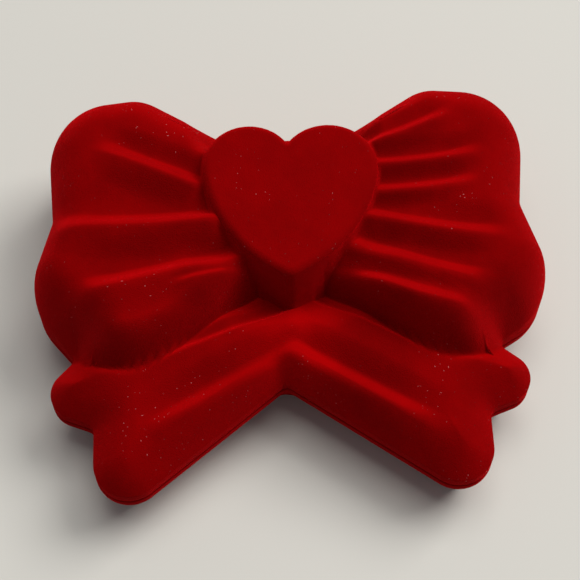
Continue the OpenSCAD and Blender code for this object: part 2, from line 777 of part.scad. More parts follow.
module lid_board() {
    color(card_brown) translate(shift) translate([0, 0, puff_z]) puff_plate(0, board_t);
}

module lid_wadding() {
    color(foam_grey) translate(shift) translate([0, 0, puff_z - wadding_t]) puff_plate(0, wadding_t);
}

module lid_satin() {
    color(satin_ivory) translate(shift) translate([0, 0, puff_low]) difference() {
        puff_plate(soft_gap + satin_t, puff_z + board_t - puff_low);
        translate([0, 0, satin_t]) puff_plate(soft_gap, puff_z + board_t - puff_low);
    }
}

module lid_board_tapes() {
    color(foam_grey) translate(shift)
        for (sx = [-1, 1], sy = [-1, 1])
            translate([sx * tape_x - tape_w / 2, puff_y + sy * tape_y - tape_d / 2, puff_z + board_t])
                cube([tape_w, tape_d, ceiling_z - soft_gap - puff_z - board_t]);
}

base_shell();
base_collar();
pad_board();
pad_foam();
pad_cover();
front_roll_foam();
front_roll_cover();
rear_roll_foam();
rear_roll_cover();
hinge_base_leaf();
base_leaf_rivets();
hinge_pins();
lid_shell();
lid_board();
lid_wadding();
lid_satin();
lid_board_tapes();
hinge_lid_leaf();
lid_leaf_rivets();
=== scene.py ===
import math

import bmesh
import bpy
import numpy as np
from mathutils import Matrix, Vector
from mathutils.geometry import delaunay_2d_cdt
from mathutils.kdtree import KDTree


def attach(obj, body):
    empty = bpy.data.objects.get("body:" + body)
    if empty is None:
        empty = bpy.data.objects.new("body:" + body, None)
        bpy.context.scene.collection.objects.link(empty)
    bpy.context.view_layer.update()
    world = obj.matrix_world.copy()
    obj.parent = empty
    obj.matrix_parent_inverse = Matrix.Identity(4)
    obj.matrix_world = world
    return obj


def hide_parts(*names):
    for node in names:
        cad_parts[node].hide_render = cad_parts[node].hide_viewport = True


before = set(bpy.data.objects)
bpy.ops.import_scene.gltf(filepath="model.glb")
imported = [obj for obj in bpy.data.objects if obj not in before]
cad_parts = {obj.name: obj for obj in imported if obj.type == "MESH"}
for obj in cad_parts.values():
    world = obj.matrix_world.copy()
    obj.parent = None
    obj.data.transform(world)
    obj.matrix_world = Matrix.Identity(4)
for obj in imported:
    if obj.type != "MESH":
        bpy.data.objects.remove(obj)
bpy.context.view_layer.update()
scene = bpy.context.scene
scene.view_settings.view_transform = "Standard"
mm = 0.001
planShift = (-0.109, 0.0824, 0.0)  # from the bow's own plan to the frame, in mm
print("frame loaded with", len(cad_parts), "nodes")

# Camera: high in front of the bow, turned a little to its left

cameraSetup = {
    "elevation": 64.0,
    "azimuth": -2.5,
    "distance": 280.0,
    "target": (-0.1, 0.08, 16.0),
    "focalPixels": 1573.6,
    "framePixels": 580,
    "sensorWidth": 36.0,
    "clip": (0.01, 10.0),
}


def addCamera():
    elevation = math.radians(cameraSetup["elevation"])
    azimuth = math.radians(cameraSetup["azimuth"])
    level = math.cos(elevation)
    back = Vector((math.sin(azimuth) * level, -math.cos(azimuth) * level, math.sin(elevation)))
    data = bpy.data.cameras.new("boxCamera")
    data.sensor_width = cameraSetup["sensorWidth"]
    data.lens = cameraSetup["focalPixels"] / cameraSetup["framePixels"] * cameraSetup["sensorWidth"]
    data.clip_start, data.clip_end = cameraSetup["clip"]
    camera = bpy.data.objects.new("boxCamera", data)
    scene.collection.objects.link(camera)
    camera.location = (Vector(cameraSetup["target"]) + back * cameraSetup["distance"]) * mm
    camera.rotation_mode = "QUATERNION"
    camera.rotation_quaternion = (-back).to_track_quat("-Z", "Y")
    scene.camera = camera


addCamera()

# Shader maths: a Value is a socket that Python's operators work on


class Value:
    def __init__(self, finish, socket):
        self.finish = finish
        self.socket = socket

    def maths(self, operation, first, second):
        return self.finish.node("ShaderNodeMath", {"operation": operation}, {0: first, 1: second})

    def __add__(self, other):
        return self.maths("ADD", self, other)

    def __radd__(self, other):
        return self.maths("ADD", other, self)

    def __sub__(self, other):
        return self.maths("SUBTRACT", self, other)

    def __rsub__(self, other):
        return self.maths("SUBTRACT", other, self)

    def __mul__(self, other):
        return self.maths("MULTIPLY", self, other)

    def __rmul__(self, other):
        return self.maths("MULTIPLY", other, self)

    def __lt__(self, other):
        return self.maths("LESS_THAN", self, other)


class Finish:
    def __init__(self, name):
        self.material = bpy.data.materials.new(name)
        self.material.use_nodes = True
        self.tree = self.material.node_tree
        self.tree.nodes.clear()

    # Settings are the node's own; an input is linked where a Value is given, and set otherwise
    def node(self, kind, settings=None, inputs=None, output=0):
        made = self.tree.nodes.new(kind)
        for key, setting in (settings or {}).items():
            setattr(made, key, setting)
        for key, given in (inputs or {}).items():
            if isinstance(given, Value):
                self.tree.links.new(given.socket, made.inputs[key])
            else:
                made.inputs[key].default_value = given
        return Value(self, made.outputs[output]) if len(made.outputs) else None

    def place(self, stretch=None):
        coords = self.node("ShaderNodeTexCoord", output="Object")
        if stretch is None:
            return coords
        return self.node("ShaderNodeVectorMath", {"operation": "MULTIPLY"}, {0: coords, 1: stretch})

    def noise(self, where, scale, detail, roughness):
        return self.node("ShaderNodeTexNoise", None,
                         {"Vector": where, "Scale": scale, "Detail": detail, "Roughness": roughness})

    def steps(self, value, low, high):
        return self.node("ShaderNodeMapRange", {"interpolation_type": "SMOOTHSTEP"},
                         {"Value": value, "From Min": low, "From Max": high})

    def blend(self, share, first, second):
        return self.node("ShaderNodeMix", {"data_type": "RGBA"}, {0: share, 6: first, 7: second}, 2)

    def bump(self, height, distance):
        return self.node("ShaderNodeBump", None, {"Strength": 1.0, "Distance": distance, "Height": height})

    def surface(self, inputs):
        shader = self.node("ShaderNodeBsdfPrincipled", None, inputs)
        self.node("ShaderNodeOutputMaterial", None, {"Surface": shader})
        return self.material


# Red flock: brushed patches, pile grain, painted shade and highlight by slope (lighter where it faces the
# rear, darker where it faces the front), a painted pool of light on the knot, pale lint specks and fibres

redFlock = {
    "deep": (0.15, 0.0, 0.0003, 1),
    "bright": (0.38, 0.0, 0.0006, 1),
    "lint": (0.75, 0.25, 0.25, 1),
    "patchScale": 75,
    "patchEdges": (0.32, 0.68),
    "napScale": 420,
    "pileScale": 5200,
    "pileDepth": 0.00016,
    # painted highlight: slopes that face the rear are lightened between these edges of the normal's
    # rearward part
    "paintedRearHighlightEdges": (0.0, 0.6),
    "paintedKnotLightPlace": (-0.0001, -0.0124, 0.02),  # painted light: a pool of light on the knot in front of the heart, lightening it
    "paintedKnotLightReach": (0.003, 0.012),
    "least": 0.05,  # brightness before the weights below add theirs
    # the last three weights are painted light: shade and highlight by slope, a highlight on rear-facing
    # slopes and a lit patch on the knot
    "weights": {"patches": 0.16, "nap": 0.2, "pile": 0.2, "paintedSlopeShade": 0.2, "paintedRearHighlight": 0.4, "paintedKnotLight": 0.4},
    "lintScale": 1300,
    "lintShare": 0.6,
    "lintKinds": (((1, 1, 1), 0.12), ((1, 0.28, 0.6), 0.08), ((0.3, 1, 0.6), 0.08)),  # stretch, size
    "sheenTint": (1.0, 0.004, 0.008, 1),
}


def flockShare(finish, where, patches, nap, pile):
    weights = redFlock["weights"]
    # Painted shade and highlight: colour follows how far the surface faces the rear, lighter on rear-facing
    # slopes and darker on front-facing ones
    facing = finish.node("ShaderNodeTexCoord", output="Normal")
    paintedSlopeShade = finish.node("ShaderNodeSeparateXYZ", None, {0: facing}, 1)
    # painted light on the knot, fading with distance from it
    away = finish.node("ShaderNodeVectorMath", {"operation": "DISTANCE"},
                       {0: where, 1: redFlock["paintedKnotLightPlace"]}, "Value")
    paintedKnotLight = 1 - finish.steps(away, *redFlock["paintedKnotLightReach"])
    # painted highlight, only on slopes that face the rear
    paintedRearHighlight = finish.steps(paintedSlopeShade, *redFlock["paintedRearHighlightEdges"])
    grain = patches * weights["patches"] + nap * weights["nap"] + pile * weights["pile"]
    # painted light from the slopes and the knot, added to the flock's own tone
    paintedLight = paintedSlopeShade * weights["paintedSlopeShade"] + paintedRearHighlight * weights["paintedRearHighlight"] + paintedKnotLight * weights["paintedKnotLight"]
    return grain + paintedLight + redFlock["least"]


def makeRedFlock():
    finish = Finish("redFlock")
    where = finish.place()
    patches = finish.steps(finish.noise(where, redFlock["patchScale"], 3, 0.55), *redFlock["patchEdges"])
    nap = finish.noise(where, redFlock["napScale"], 3, 0.6)
    pile = finish.noise(where, redFlock["pileScale"], 2, 0.6)
    share = flockShare(finish, where, patches, nap, pile)
    colour = finish.blend(share, redFlock["deep"], redFlock["bright"])
    for stretch, size in redFlock["lintKinds"]:
        spots = {"Vector": finish.place(stretch), "Scale": redFlock["lintScale"], "Randomness": 1.0}
        near = finish.node("ShaderNodeTexVoronoi", None, spots, "Distance")
        tone = finish.node("ShaderNodeTexVoronoi", None, spots, "Color")
        chance = finish.node("ShaderNodeSeparateColor", None, {0: tone}, 0)
        mask = (near < chance * patches * size) * redFlock["lintShare"]
        colour = finish.blend(mask, colour, redFlock["lint"])
    return finish.surface({
        "Base Color": colour,
        "Roughness": 0.95 - pile * 0.1,
        "Specular IOR Level": 0.02,
        "Sheen Weight": 0.8,
        "Sheen Roughness": 0.4,
        "Sheen Tint": redFlock["sheenTint"],
        "Normal": finish.bump(pile + nap * 0.6, redFlock["pileDepth"]),
    })


# Ivory velvet of the ring pad, with a short crushed pile

ivoryVelvet = {
    "deep": (0.52, 0.45, 0.34, 1),
    "bright": (0.74, 0.68, 0.57, 1),
    "crushScale": 160,
    "crushEdges": (0.3, 0.7),
    "pileScale": 4200,
    "pileDepth": 0.00015,
    "sheenTint": (1.0, 0.95, 0.86, 1),
}


def makeIvoryVelvet():
    finish = Finish("ivoryVelvet")
    where = finish.place()
    crush = finish.steps(finish.noise(where, ivoryVelvet["crushScale"], 3, 0.6), *ivoryVelvet["crushEdges"])
    pile = finish.noise(where, ivoryVelvet["pileScale"], 2, 0.6)
    colour = finish.blend(crush * 0.6 + pile * 0.4, ivoryVelvet["deep"], ivoryVelvet["bright"])
    return finish.surface({
        "Base Color": colour,
        "Roughness": 0.96 - crush * 0.1,
        "Specular IOR Level": 0.15,
        "Sheen Weight": 0.5,
        "Sheen Roughness": 0.4,
        "Sheen Tint": ivoryVelvet["sheenTint"],
        "Normal": finish.bump(pile, ivoryVelvet["pileDepth"]),
    })


# Ivory satin: long threads across the puff with a soft gloss

ivorySatin = {
    "deep": (0.62, 0.56, 0.46, 1),
    "bright": (0.8, 0.76, 0.68, 1),
    "threadScale": 2600,
    "slubScale": 520,
    "threadDepth": 0.00005,
}


def makeIvorySatin():
    finish = Finish("ivorySatin")
    threads = finish.noise(finish.place((0.05, 1, 1)), ivorySatin["threadScale"], 2, 0.5)
    slubs = finish.noise(finish.place((0.15, 1, 1)), ivorySatin["slubScale"], 2, 0.5)
    colour = finish.blend(threads * 0.6 + slubs * 0.4, ivorySatin["deep"], ivorySatin["bright"])
    return finish.surface({
        "Base Color": colour,
        "Roughness": 0.34 + threads * 0.14,
        "Specular IOR Level": 0.5,
        "Sheen Weight": 0.25,
        "Sheen Roughness": 0.3,
        "Normal": finish.bump(threads, ivorySatin["threadDepth"]),
    })


# Grey foam of the tape pads, with open cells

greyFoam = {
    "skin": (0.52, 0.51, 0.47, 1),
    "cell": (0.26, 0.25, 0.23, 1),
    "cellScale": 2200,
    "cellEdges": (0.15, 0.6),
    "cellDepth": 0.0002,
}


def makeGreyFoam():
    finish = Finish("greyFoam")
    cells = finish.node("ShaderNodeTexVoronoi", None,
                        {"Vector": finish.place(), "Scale": greyFoam["cellScale"]}, "Distance")
    skin = finish.steps(cells, *greyFoam["cellEdges"])
    return finish.surface({
        "Base Color": finish.blend(skin, greyFoam["cell"], greyFoam["skin"]),
        "Roughness": 0.9 + skin * 0.08,
        "Specular IOR Level": 0.2,
        "Normal": finish.bump(cells, greyFoam["cellDepth"]),
    })


# Brown card with pulp flecks

brownCard = {
    "pulp": (0.33, 0.21, 0.11, 1),
    "fleck": (0.16, 0.09, 0.04, 1),
    "fibreScale": 1500,
    "fibreDepth": 0.00006,
    "fleckScale": 700,
    "fleckEdges": (0.62, 0.72),
}


def makeBrownCard():
    finish = Finish("brownCard")
    fibres = finish.noise(finish.place((0.25, 1, 1)), brownCard["fibreScale"], 3, 0.6)
    clumps = finish.noise(finish.place(), brownCard["fleckScale"], 2, 0.5)
    flecks = finish.steps(clumps, *brownCard["fleckEdges"])
    colour = finish.blend(flecks * 0.7, brownCard["pulp"], brownCard["fleck"])
    return finish.surface({
        "Base Color": colour,
        "Roughness": 0.85 + fibres * 0.1,
        "Specular IOR Level": 0.25,
        "Normal": finish.bump(fibres, brownCard["fibreDepth"]),
    })


# Hinge metals: brushed sheet with handling marks

hingeBrass = {"fresh": (0.72, 0.5, 0.2, 1), "dull": (0.36, 0.23, 0.09, 1), "brushScale": 2400}
hingeSteel = {"fresh": (0.62, 0.62, 0.63, 1), "dull": (0.36, 0.36, 0.37, 1), "brushScale": 3000}
hingeMarks = {"scale": 380, "edges": (0.45, 0.7), "brushDepth": 0.00002}


def makeHingeMetal(name, look):
    finish = Finish(name)
    paintedKnotLight = finish.noise(finish.place((1, 0.06, 1)), look["brushScale"], 2, 0.5)
    marks = finish.steps(finish.noise(finish.place(), hingeMarks["scale"], 4, 0.65), *hingeMarks["edges"])
    return finish.surface({
        "Base Color": finish.blend(marks * 0.7, look["fresh"], look["dull"]),
        "Metallic": 1.0,
        "Roughness": 0.2 + paintedKnotLight * 0.14 + marks * 0.18,
        "Normal": finish.bump(paintedKnotLight, hingeMarks["brushDepth"]),
    })


finishes = {
    "red_flock": makeRedFlock(),
    "ivory_velvet": makeIvoryVelvet(),
    "ivory_satin": makeIvorySatin(),
    "grey_foam": makeGreyFoam(),
    "brown_card": makeBrownCard(),
    "hinge_brass": makeHingeMetal("hingeBrass", hingeBrass),
    "hinge_steel": makeHingeMetal("hingeSteel", hingeSteel),
}
print("finishes made:", len(finishes))


# Pieces: points are in mm in the bow's plan

def addPiece(name, points, faces, slot, body, replaced=()):
    mesh = bpy.data.meshes.new(name)
    places = (np.asarray(points, float) + planShift) * mm
    mesh.from_pydata(places.tolist(), [], [list(map(int, face)) for face in faces])
    mesh.validate()
    piece = bpy.data.objects.new(name, mesh)
    scene.collection.objects.link(piece)
    mesh.materials.append(finishes[slot])
    mesh.shade_smooth()
    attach(piece, body)
    if replaced:
        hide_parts(*replaced)
    return piece


# Faces between rings of equal count
def ringFaces(ringCount, count):
    across = np.arange(count)
    onward = (across + 1) % count
    faces = []
    for k in range(ringCount - 1):
        a, b = k * count, (k + 1) * count
        faces += np.stack([a + across, b + across, b + onward, a + onward], 1).tolist()
    return faces


# Rings with the points that close their two ends
def closedRings(rings, first, final):
    count = len(rings[0])
    points = np.vstack([*rings, [first], [final]])
    start, end = len(rings) * count, len(rings) * count + 1
    across = np.arange(count)
    onward = (across + 1) % count
    faces = ringFaces(len(rings), count)
    faces += np.stack([np.full(count, start), across, onward], 1).tolist()
    lastRing = (len(rings) - 1) * count
    faces += np.stack([np.full(count, end), lastRing + onward, lastRing + across], 1).tolist()
    return points, faces


def ring(plan, height):
    return np.column_stack([plan, np.broadcast_to(height, len(plan))])


# Outline of the bow: corners with a radius, every one of them rounded by an arc

bow = {
    "crotch": (-1.4, -17.0, 1.5),
    "side": [  # right side: tail, nick, lobe, notch, loop, waist, corner, shoulder, rear wall
        (33.6, -42.2, 6.0),
        (33.6, -23.8, 2.0),
        (45.8, -19.4, 4.6),
        (36.2, -11.6, 0.8),
        (47.2, -5.0, 11.0),
        (42.0, 12.4, 7.0),
        (44.8, 34.8, 12.0),
        (25.0, 36.8, 9.0),
        (16.0, 31.0, 3.0),
    ],
    "leftMoves": {0: (1.2, -1.0), 1: (1.2, 0.0), 3: (2.0, 0.0), 4: (-1.0, 3.2), 6: (-1.4, 0.0)},
    "notchCorner": 3,  # place of the notch in the side's list
    "leastRadius": 0.4,
    "facet": 0.55,
    "trialSteps": 24,
    "leastSteps": 6,
    "rearY": 31.0,
}


def sideCorners(moves):
    corners = np.array(bow["side"])
    for i, move in moves.items():
        corners[i, :2] += move
    return corners


leftCorners = sideCorners(bow["leftMoves"]) * (-1, 1, 1)
bowCorners = np.vstack([[bow["crotch"]], sideCorners({}), leftCorners[::-1]])


def cross(a, b):
    return a[..., 0] * b[..., 1] - a[..., 1] * b[..., 0]


def unit(vectors):
    return vectors / np.linalg.norm(vectors, axis=-1, keepdims=True)


def leftOf(vectors):
    return np.stack([-vectors[..., 1], vectors[..., 0]], -1)


# Corners moved inwards along both of their edges, with their radii
def insetCorners(inset):
    places, radii = bowCorners[:, :2], bowCorners[:, 2]
    wayIn = places - np.roll(places, 1, 0)
    wayOut = np.roll(places, -1, 0) - places
    sideIn, sideOut = leftOf(unit(wayIn)), leftOf(unit(wayOut))
    moved = places + (sideIn + sideOut) * inset / (1 + (sideIn * sideOut).sum(1))[:, None]
    rounder = np.maximum(radii - inset, bow["leastRadius"])
    return moved, np.where(cross(wayIn, wayOut) > 0, rounder, radii + inset)


def cornerArc(before, corner, after, radius, steps):
    toBefore, toAfter = unit(before - corner), unit(after - corner)
    half = math.acos(toBefore @ toAfter) / 2
    centre = corner + unit(toBefore + toAfter) * radius / math.sin(half)
    start = corner + toBefore * radius / math.tan(half) - centre
    turn = -np.sign(cross(toBefore, toAfter)) * (math.pi - 2 * half)
    angles = turn * np.linspace(0, 1, steps + 1)
    return centre + np.column_stack([
        start[0] * np.cos(angles) - start[1] * np.sin(angles),
        start[0] * np.sin(angles) + start[1] * np.cos(angles),
    ])


def bowArcs(inset, steps):
    moved, radii = insetCorners(inset)
    before, after = np.roll(moved, 1, 0), np.roll(moved, -1, 0)
    return [cornerArc(*corner) for corner in zip(before, moved, after, radii, steps)]


def outlineSteps():
    plainArcs = bowArcs(0, [bow["trialSteps"]] * len(bowCorners))
    lengths = [np.linalg.norm(np.diff(arc, axis=0), axis=1).sum() for arc in plainArcs]
    arcs = [max(bow["leastSteps"], round(length / bow["facet"])) for length in lengths]
    onward = plainArcs[1:] + plainArcs[:1]
    gaps = [np.linalg.norm(following[0] - arc[-1]) for arc, following in zip(plainArcs, onward)]
    return arcs, [int(gap / bow["facet"]) for gap in gaps]


arcSteps, edgeSteps = outlineSteps()


# Outline inset by so many mm, always with the same number of points
def bowOutline(inset):
    arcs = bowArcs(inset, arcSteps)
    points = []
    for i, arc in enumerate(arcs):
        shares = np.arange(1, edgeSteps[i] + 1)[:, None] / (edgeSteps[i] + 1)
        points += [arc, arc[-1] + (arcs[(i + 1) % len(arcs)][0] - arc[-1]) * shares]
    return np.vstack(points)


rim = bowOutline(0)
rimCount = len(rim)


def nearest(points, targets):
    tree = KDTree(len(targets))
    for i, target in enumerate(targets):
        tree.insert((*target, 0), i)
    tree.balance()
    return np.array([tree.find((*point, 0))[2] for point in points])


def rimDistance(points):
    return nearest(points, rim)


def mix(first, second, share):
    return first + (second - first) * share


def smooth(value):
    t = np.clip(value, 0, 1)
    return t * t * (3 - 2 * t)


curbShare = 0.3  # a rounded edge passes its corner at this share of its radius

print("outline made with", rimCount, "points")

# Heart on the knot: arcs of a tip, two bowed sides and two lobes, each tangent to the next

heart = {
    "top": 31.6,
    "centre": (0.0, 8.0),
    "lobes": {1: (7.4, 16.3, 8.7), -1: (6.4, 17.2, 8.1)},  # right and left: across, to the rear, radius
    "cleft": (0.4, 21.6),
    "sideRadius": 26.0,
    "tip": (-4.4, 2.4),
    "arcPoints": (40, 80, 160),  # of the tip, a side and a lobe
    "scans": 81,
    "edgeRound": 1.4,
    "edgeTurn": 84.0,
    "edgeRings": 10,
    "domed": 0.25,
    "domeShares": (0.12, 0.3, 0.5, 0.7, 0.85, 0.95),
    "spread": 0.7,  # the foot of its wall stands out so far
    "flare": 1.6,
    "wallShares": (0.2, 0.4, 0.6, 0.8),
    "wall": 1.8,
}


# Outline from tip to cleft; sign is 1 on the right, and -1 for the left before it is mirrored
def heartSide(sign):
    lobeX, lobeY, lobeR = heart["lobes"][sign]
    tipY, tipR = heart["tip"]
    lobe = np.array([lobeX, lobeY])
    tip = np.array([0, tipY + tipR])
    lobeGap, tipGap = heart["sideRadius"] - lobeR, heart["sideRadius"] - tipR
    length = np.linalg.norm(lobe - tip)
    way = (lobe - tip) / length
    along = (length ** 2 + tipGap ** 2 - lobeGap ** 2) / (2 * length)
    aside = math.sqrt(tipGap ** 2 - along ** 2)
    side = tip + way * along + np.array([-way[1], way[0]]) * aside
    tipEnd = math.atan2(*(tip - side)[::-1])
    lobeStart = math.atan2(*(lobe - side)[::-1])
    cleft = math.atan2(heart["cleft"][1] - lobeY, sign * heart["cleft"][0] - lobeX)
    turns = [-math.pi / 2, tipEnd, lobeStart, cleft]
    circles = [(tip, tipR), (side, heart["sideRadius"]), (lobe, lobeR)]
    arcs = []
    for (centre, radius), first, final, count in zip(circles, turns, turns[1:], heart["arcPoints"]):
        angles = np.linspace(first, final, count)
        arcs.append(centre + radius * np.column_stack([np.cos(angles), np.sin(angles)]))
    return np.vstack([arcs[0], arcs[1][1:], arcs[2][1:]])


def heartOutline():
    return np.vstack([heartSide(1), heartSide(-1)[-2:0:-1] * (-1, 1)])


heartLine = heartOutline()
heartCentre = np.array(heart["centre"])
rays = unit(rim - heartCentre)


def heartReach():
    away = heartLine - heartCentre
    angles = np.arctan2(away[:, 1], away[:, 0])
    order = np.argsort(angles)
    lengths = np.linalg.norm(away, axis=1)[order]
    return np.interp(np.arctan2(rays[:, 1], rays[:, 0]), angles[order], lengths, period=2 * math.pi)


reach = heartReach()
scanShares = np.linspace(0, 1, heart["scans"])
scanPoints = heartCentre + rays[:, None] * (reach[:, None] * scanShares)[..., None]
scanDepths = nearest(scanPoints.reshape(-1, 2), heartLine).reshape(rimCount, -1)


# Ring inside the heart's outline at a true distance from it
def heartInside(depth):
    deep = scanDepths >= depth
    last = len(scanShares) - 1 - np.argmax(deep[:, ::-1], axis=1)
    last = np.minimum(last, len(scanShares) - 2)
    rows = np.arange(rimCount)
    here, there = scanDepths[rows, last], scanDepths[rows, last + 1]
    part = np.clip((here - depth) / np.maximum(here - there, 1e-6), 0, 1)
    share = (last + part) / (len(scanShares) - 1)
    return heartCentre + rays * (reach * share)[:, None]


# Ring so many mm outside the heart's outline, or inside it where the number is negative
def heartFoot(spread):
    return heartCentre + rays * (reach + spread)[:, None]


footLine = heartFoot(heart["spread"])

# Lid: loops and tails that swell up from the rim, with the pleats pressed into them

lid = {
    "seam": 12.0,
    "rimZ": 12.15,
    "rimRound": 0.3,
    "wall": 1.7,
    "roof": 2.4,
    "roofAtWall": 0.5,  # shares of the roof's thickness
    "leastRoof": 0.45,
    "roofRun": 3.0,
    "swell": 2.2,
    "loopRise": 17.6,
    "loopWall": 5.0,
    "loopRound": 8.5,
    "loopSlope": 11.0,
    "slopeFrom": 2.0,
    "slopeRun": 12.0,
    "tailRootRise": 6.4,
    "tailCrestRise": 9.6,
    "tailTipRise": 7.8,
    "tailRoot": 12.0,  # root and crest are so far from the heart's centre
    "tailClimb": 9.0,
    "tailCrest": 26.0,
    "tailFall": 26.0,
    "tailWall": 2.6,
    "tailSlope": 9.0,
    "ledgeRise": 7.8,  # low part of the lid behind the heart, at the hinge
    "ledgeWall": 2.8,
    "ledgeStart": 20.0,
    "ledgeFall": 6.0,
    "ledgeOut": 2.0,
    "ledgeSide": 8.5,
    "creaseLine": (1.0, -3.0, -23.4, -12.2),  # cubic from the knot out to the notch
    "creaseSpan": 37.2,
    "creaseDeep": 0.7,
    "creaseWide": 0.9,
    "browRun": 4.8,
    "browPower": 2.3,
    "notchRun": 6.0,  # the brow leans back round the notches
    "dipStart": 12.0,  # the loops dip before the heart
    "dipRun": 9.0,
    "dipDrop": 2.4,
    "dipEnd": 5.0,
    "dipFade": 6.0,
    "ceilingBack": 2.0,
    "ceilingRun": 3.5,
    "loopMargin": 4.0,  # pleats end so far inside the rim
    "tailMargin": 2.4,
    "fieldRings": 70,
    "edgeInsets": (4, 3.3, 2.7, 2.1, 1.6, 1.15, 0.8, 0.5, 0.28, 0.12, 0.03, 0),
    "wallShares": (0.33, 0.67, 1),
    "ceilingInsets": (1.9, 2.3, 3, 4),
    "ceilingRings": 16,
}
notches = np.array([corners[bow["notchCorner"], :2] for corners in (sideCorners({}), leftCorners)])

# Pleats: start, end, sag to the front, rise, and the runs behind and before the rise
loopPleats = [
    (-14.6, 17.0, -34.0, 26.2, 0.2, 3.8, 4.0, 6.5),
    (-13.0, 10.4, -44.0, 10.8, 0.8, 4.2, 9.0, 7.0),
    (-10.0, 2.9, -41.0, -3.4, 0.4, 4.0, 6.0, 7.0),
    (-8.0, -0.5, -22.0, -4.8, 0.0, 1.4, 1.8, 4.5),
    (15.0, 23.6, 30.5, 30.2, 0.5, 2.8, 3.2, 4.2),
    (15.6, 19.2, 36.0, 21.6, 0.6, 3.0, 3.4, 4.0),
    (15.6, 13.8, 35.0, 15.8, 0.6, 3.0, 3.2, 3.8),
    (14.2, 9.3, 40.0, 4.1, 0.4, 3.4, 4.8, 4.8),
    (11.0, 4.4, 38.0, -5.0, 0.6, 3.6, 4.8, 5.2),
    (6.4, 0.2, 38.0, -10.2, 0.6, 3.6, 4.8, 6.5),
]
tailPleats = [
    (-1.0, -4.8, -26.0, -14.6, 0.4, 1.5, 2.0, 8.0),
    (-1.6, -12.0, -29.0, -27.0, 0.0, 3.4, 4.5, 7.0),
    (3.0, -2.2, 26.0, -15.6, 0.4, 1.0, 2.0, 8.0),
    (1.4, -11.9, 28.0, -28.0, 0.3, 3.4, 4.5, 7.0),
]
pleat = {
    "step": 1.1,  # width of the step for each mm of rise
    "lead": 0.1,
    "crest": 1.3,
    "raised": 0.55,  # shares of the rise above and below the lid's own shape
    "sunk": 0.45,
    "early": 0.12,  # shares of the length: starts, fades in and fades out
    "fadeIn": 0.16,
    "fadeOut": 0.4,
}


def pillow(distance, width):
    t = np.clip(distance / width, 0, 1)
    return (1 - (1 - t) ** lid["swell"]) ** (1 / lid["swell"])


def slope(distance, width):
    return 1 - (1 - np.clip(distance / width, 0, 1)) ** lid["swell"]


def pastCrease(points):
    t = np.minimum(np.abs(points[:, 0]) / lid["creaseSpan"], 1)
    k = 1 - t
    a, b, c, d = lid["creaseLine"]
    return points[:, 1] - (a * k ** 3 + 3 * b * k * k * t + 3 * c * k * t * t + d * t ** 3)


def behindHeart(points):
    side = bow["side"][-1][0] + lid["ledgeOut"] - np.abs(points[:, 0])
    return smooth(side / lid["ledgeSide"]) * smooth((points[:, 1] - lid["ledgeStart"]) / lid["ledgeFall"])


def loopCrown(points, distance):
    rear, front = pillow(distance, lid["loopRound"]), slope(distance, lid["loopSlope"])
    full = mix(rear, front, smooth((lid["slopeFrom"] - points[:, 1]) / lid["slopeRun"]))
    loop = mix(lid["loopWall"], lid["loopRise"], full)
    ledge = mix(lid["ledgeWall"], lid["ledgeRise"], rear)
    return mix(loop, ledge, behindHeart(points))


def tailCrown(points, distance):
    away = np.linalg.norm(points - heartCentre, axis=1)
    climb = smooth((away - lid["tailRoot"]) / lid["tailClimb"])
    fall = smooth((away - lid["tailCrest"]) / lid["tailFall"])
    rise = mix(lid["tailRootRise"], lid["tailCrestRise"], climb)
    rise -= (lid["tailCrestRise"] - lid["tailTipRise"]) * fall
    return mix(lid["tailWall"], rise, slope(distance, lid["tailSlope"]))


# A pleat falls slowly to its line from behind, steps up there and falls slowly again before it
def pleats(points, lines):
    total = np.zeros(len(points))
    for x0, y0, x1, y1, sag, rise, runBehind, runBefore in lines:
        start, run = np.array([x0, y0]), np.array([x1 - x0, y1 - y0])
        along = (points - start) @ run / (run @ run)
        bent = 4 * sag * np.clip(along * (1 - along), 0, None)
        off = cross(run / np.linalg.norm(run), points - start) * np.sign(run[0]) + bent
        up = smooth(pleat["lead"] - off / (pleat["step"] * rise))
        before, behind = smooth(pleat["crest"] + off / runBefore), smooth(1 - off / runBehind)
        fade = smooth((along + pleat["early"]) / pleat["fadeIn"]) * smooth((1 - along) / pleat["fadeOut"])
        total += rise * fade * (pleat["raised"] * up * before - pleat["sunk"] * (1 - up) * behind)
    return total


# Height of the lid's outside at points that lie so far inside the rim
def lidTop(points, distance):
    past = pastCrease(points)
    nearNotch = np.exp(-(nearest(points, notches) / lid["notchRun"]) ** 2)
    share = 1 - (1 - np.clip(past / (lid["browRun"] * (1 + nearNotch)), 0, 1)) ** lid["browPower"]
    loopInside, tailInside = smooth(distance / lid["loopMargin"]), smooth(distance / lid["tailMargin"])
    loop = loopCrown(points, distance) + loopInside * pleats(points, loopPleats)
    tail = tailCrown(points, distance) + tailInside * pleats(points, tailPleats)
    crease = lid["creaseDeep"] * np.exp(-(past / lid["creaseWide"]) ** 2) * loopInside
    dip = 1 - smooth((np.linalg.norm(points - heartCentre, axis=1) - lid["dipStart"]) / lid["dipRun"])
    drop = lid["dipDrop"] * dip * smooth((lid["dipEnd"] - points[:, 1]) / lid["dipFade"]) * share
    return lid["seam"] + mix(tail, loop, share) - crease - drop


# Underside of the roof, whose step lies well inside the loops
def lidCeiling(points, distance):
    share = smooth((pastCrease(points) - lid["ceilingBack"]) / lid["ceilingRun"])
    inside = distance - lid["wall"]
    crown = mix(tailCrown(points, inside), loopCrown(points, inside), share)
    thick = lid["roof"] * mix(lid["roofAtWall"], 1, smooth(inside / lid["roofRun"]))
    least = lid["leastRoof"] * lid["roof"]
    return np.minimum(lid["seam"] + crown - thick, lidTop(points, distance) - least)


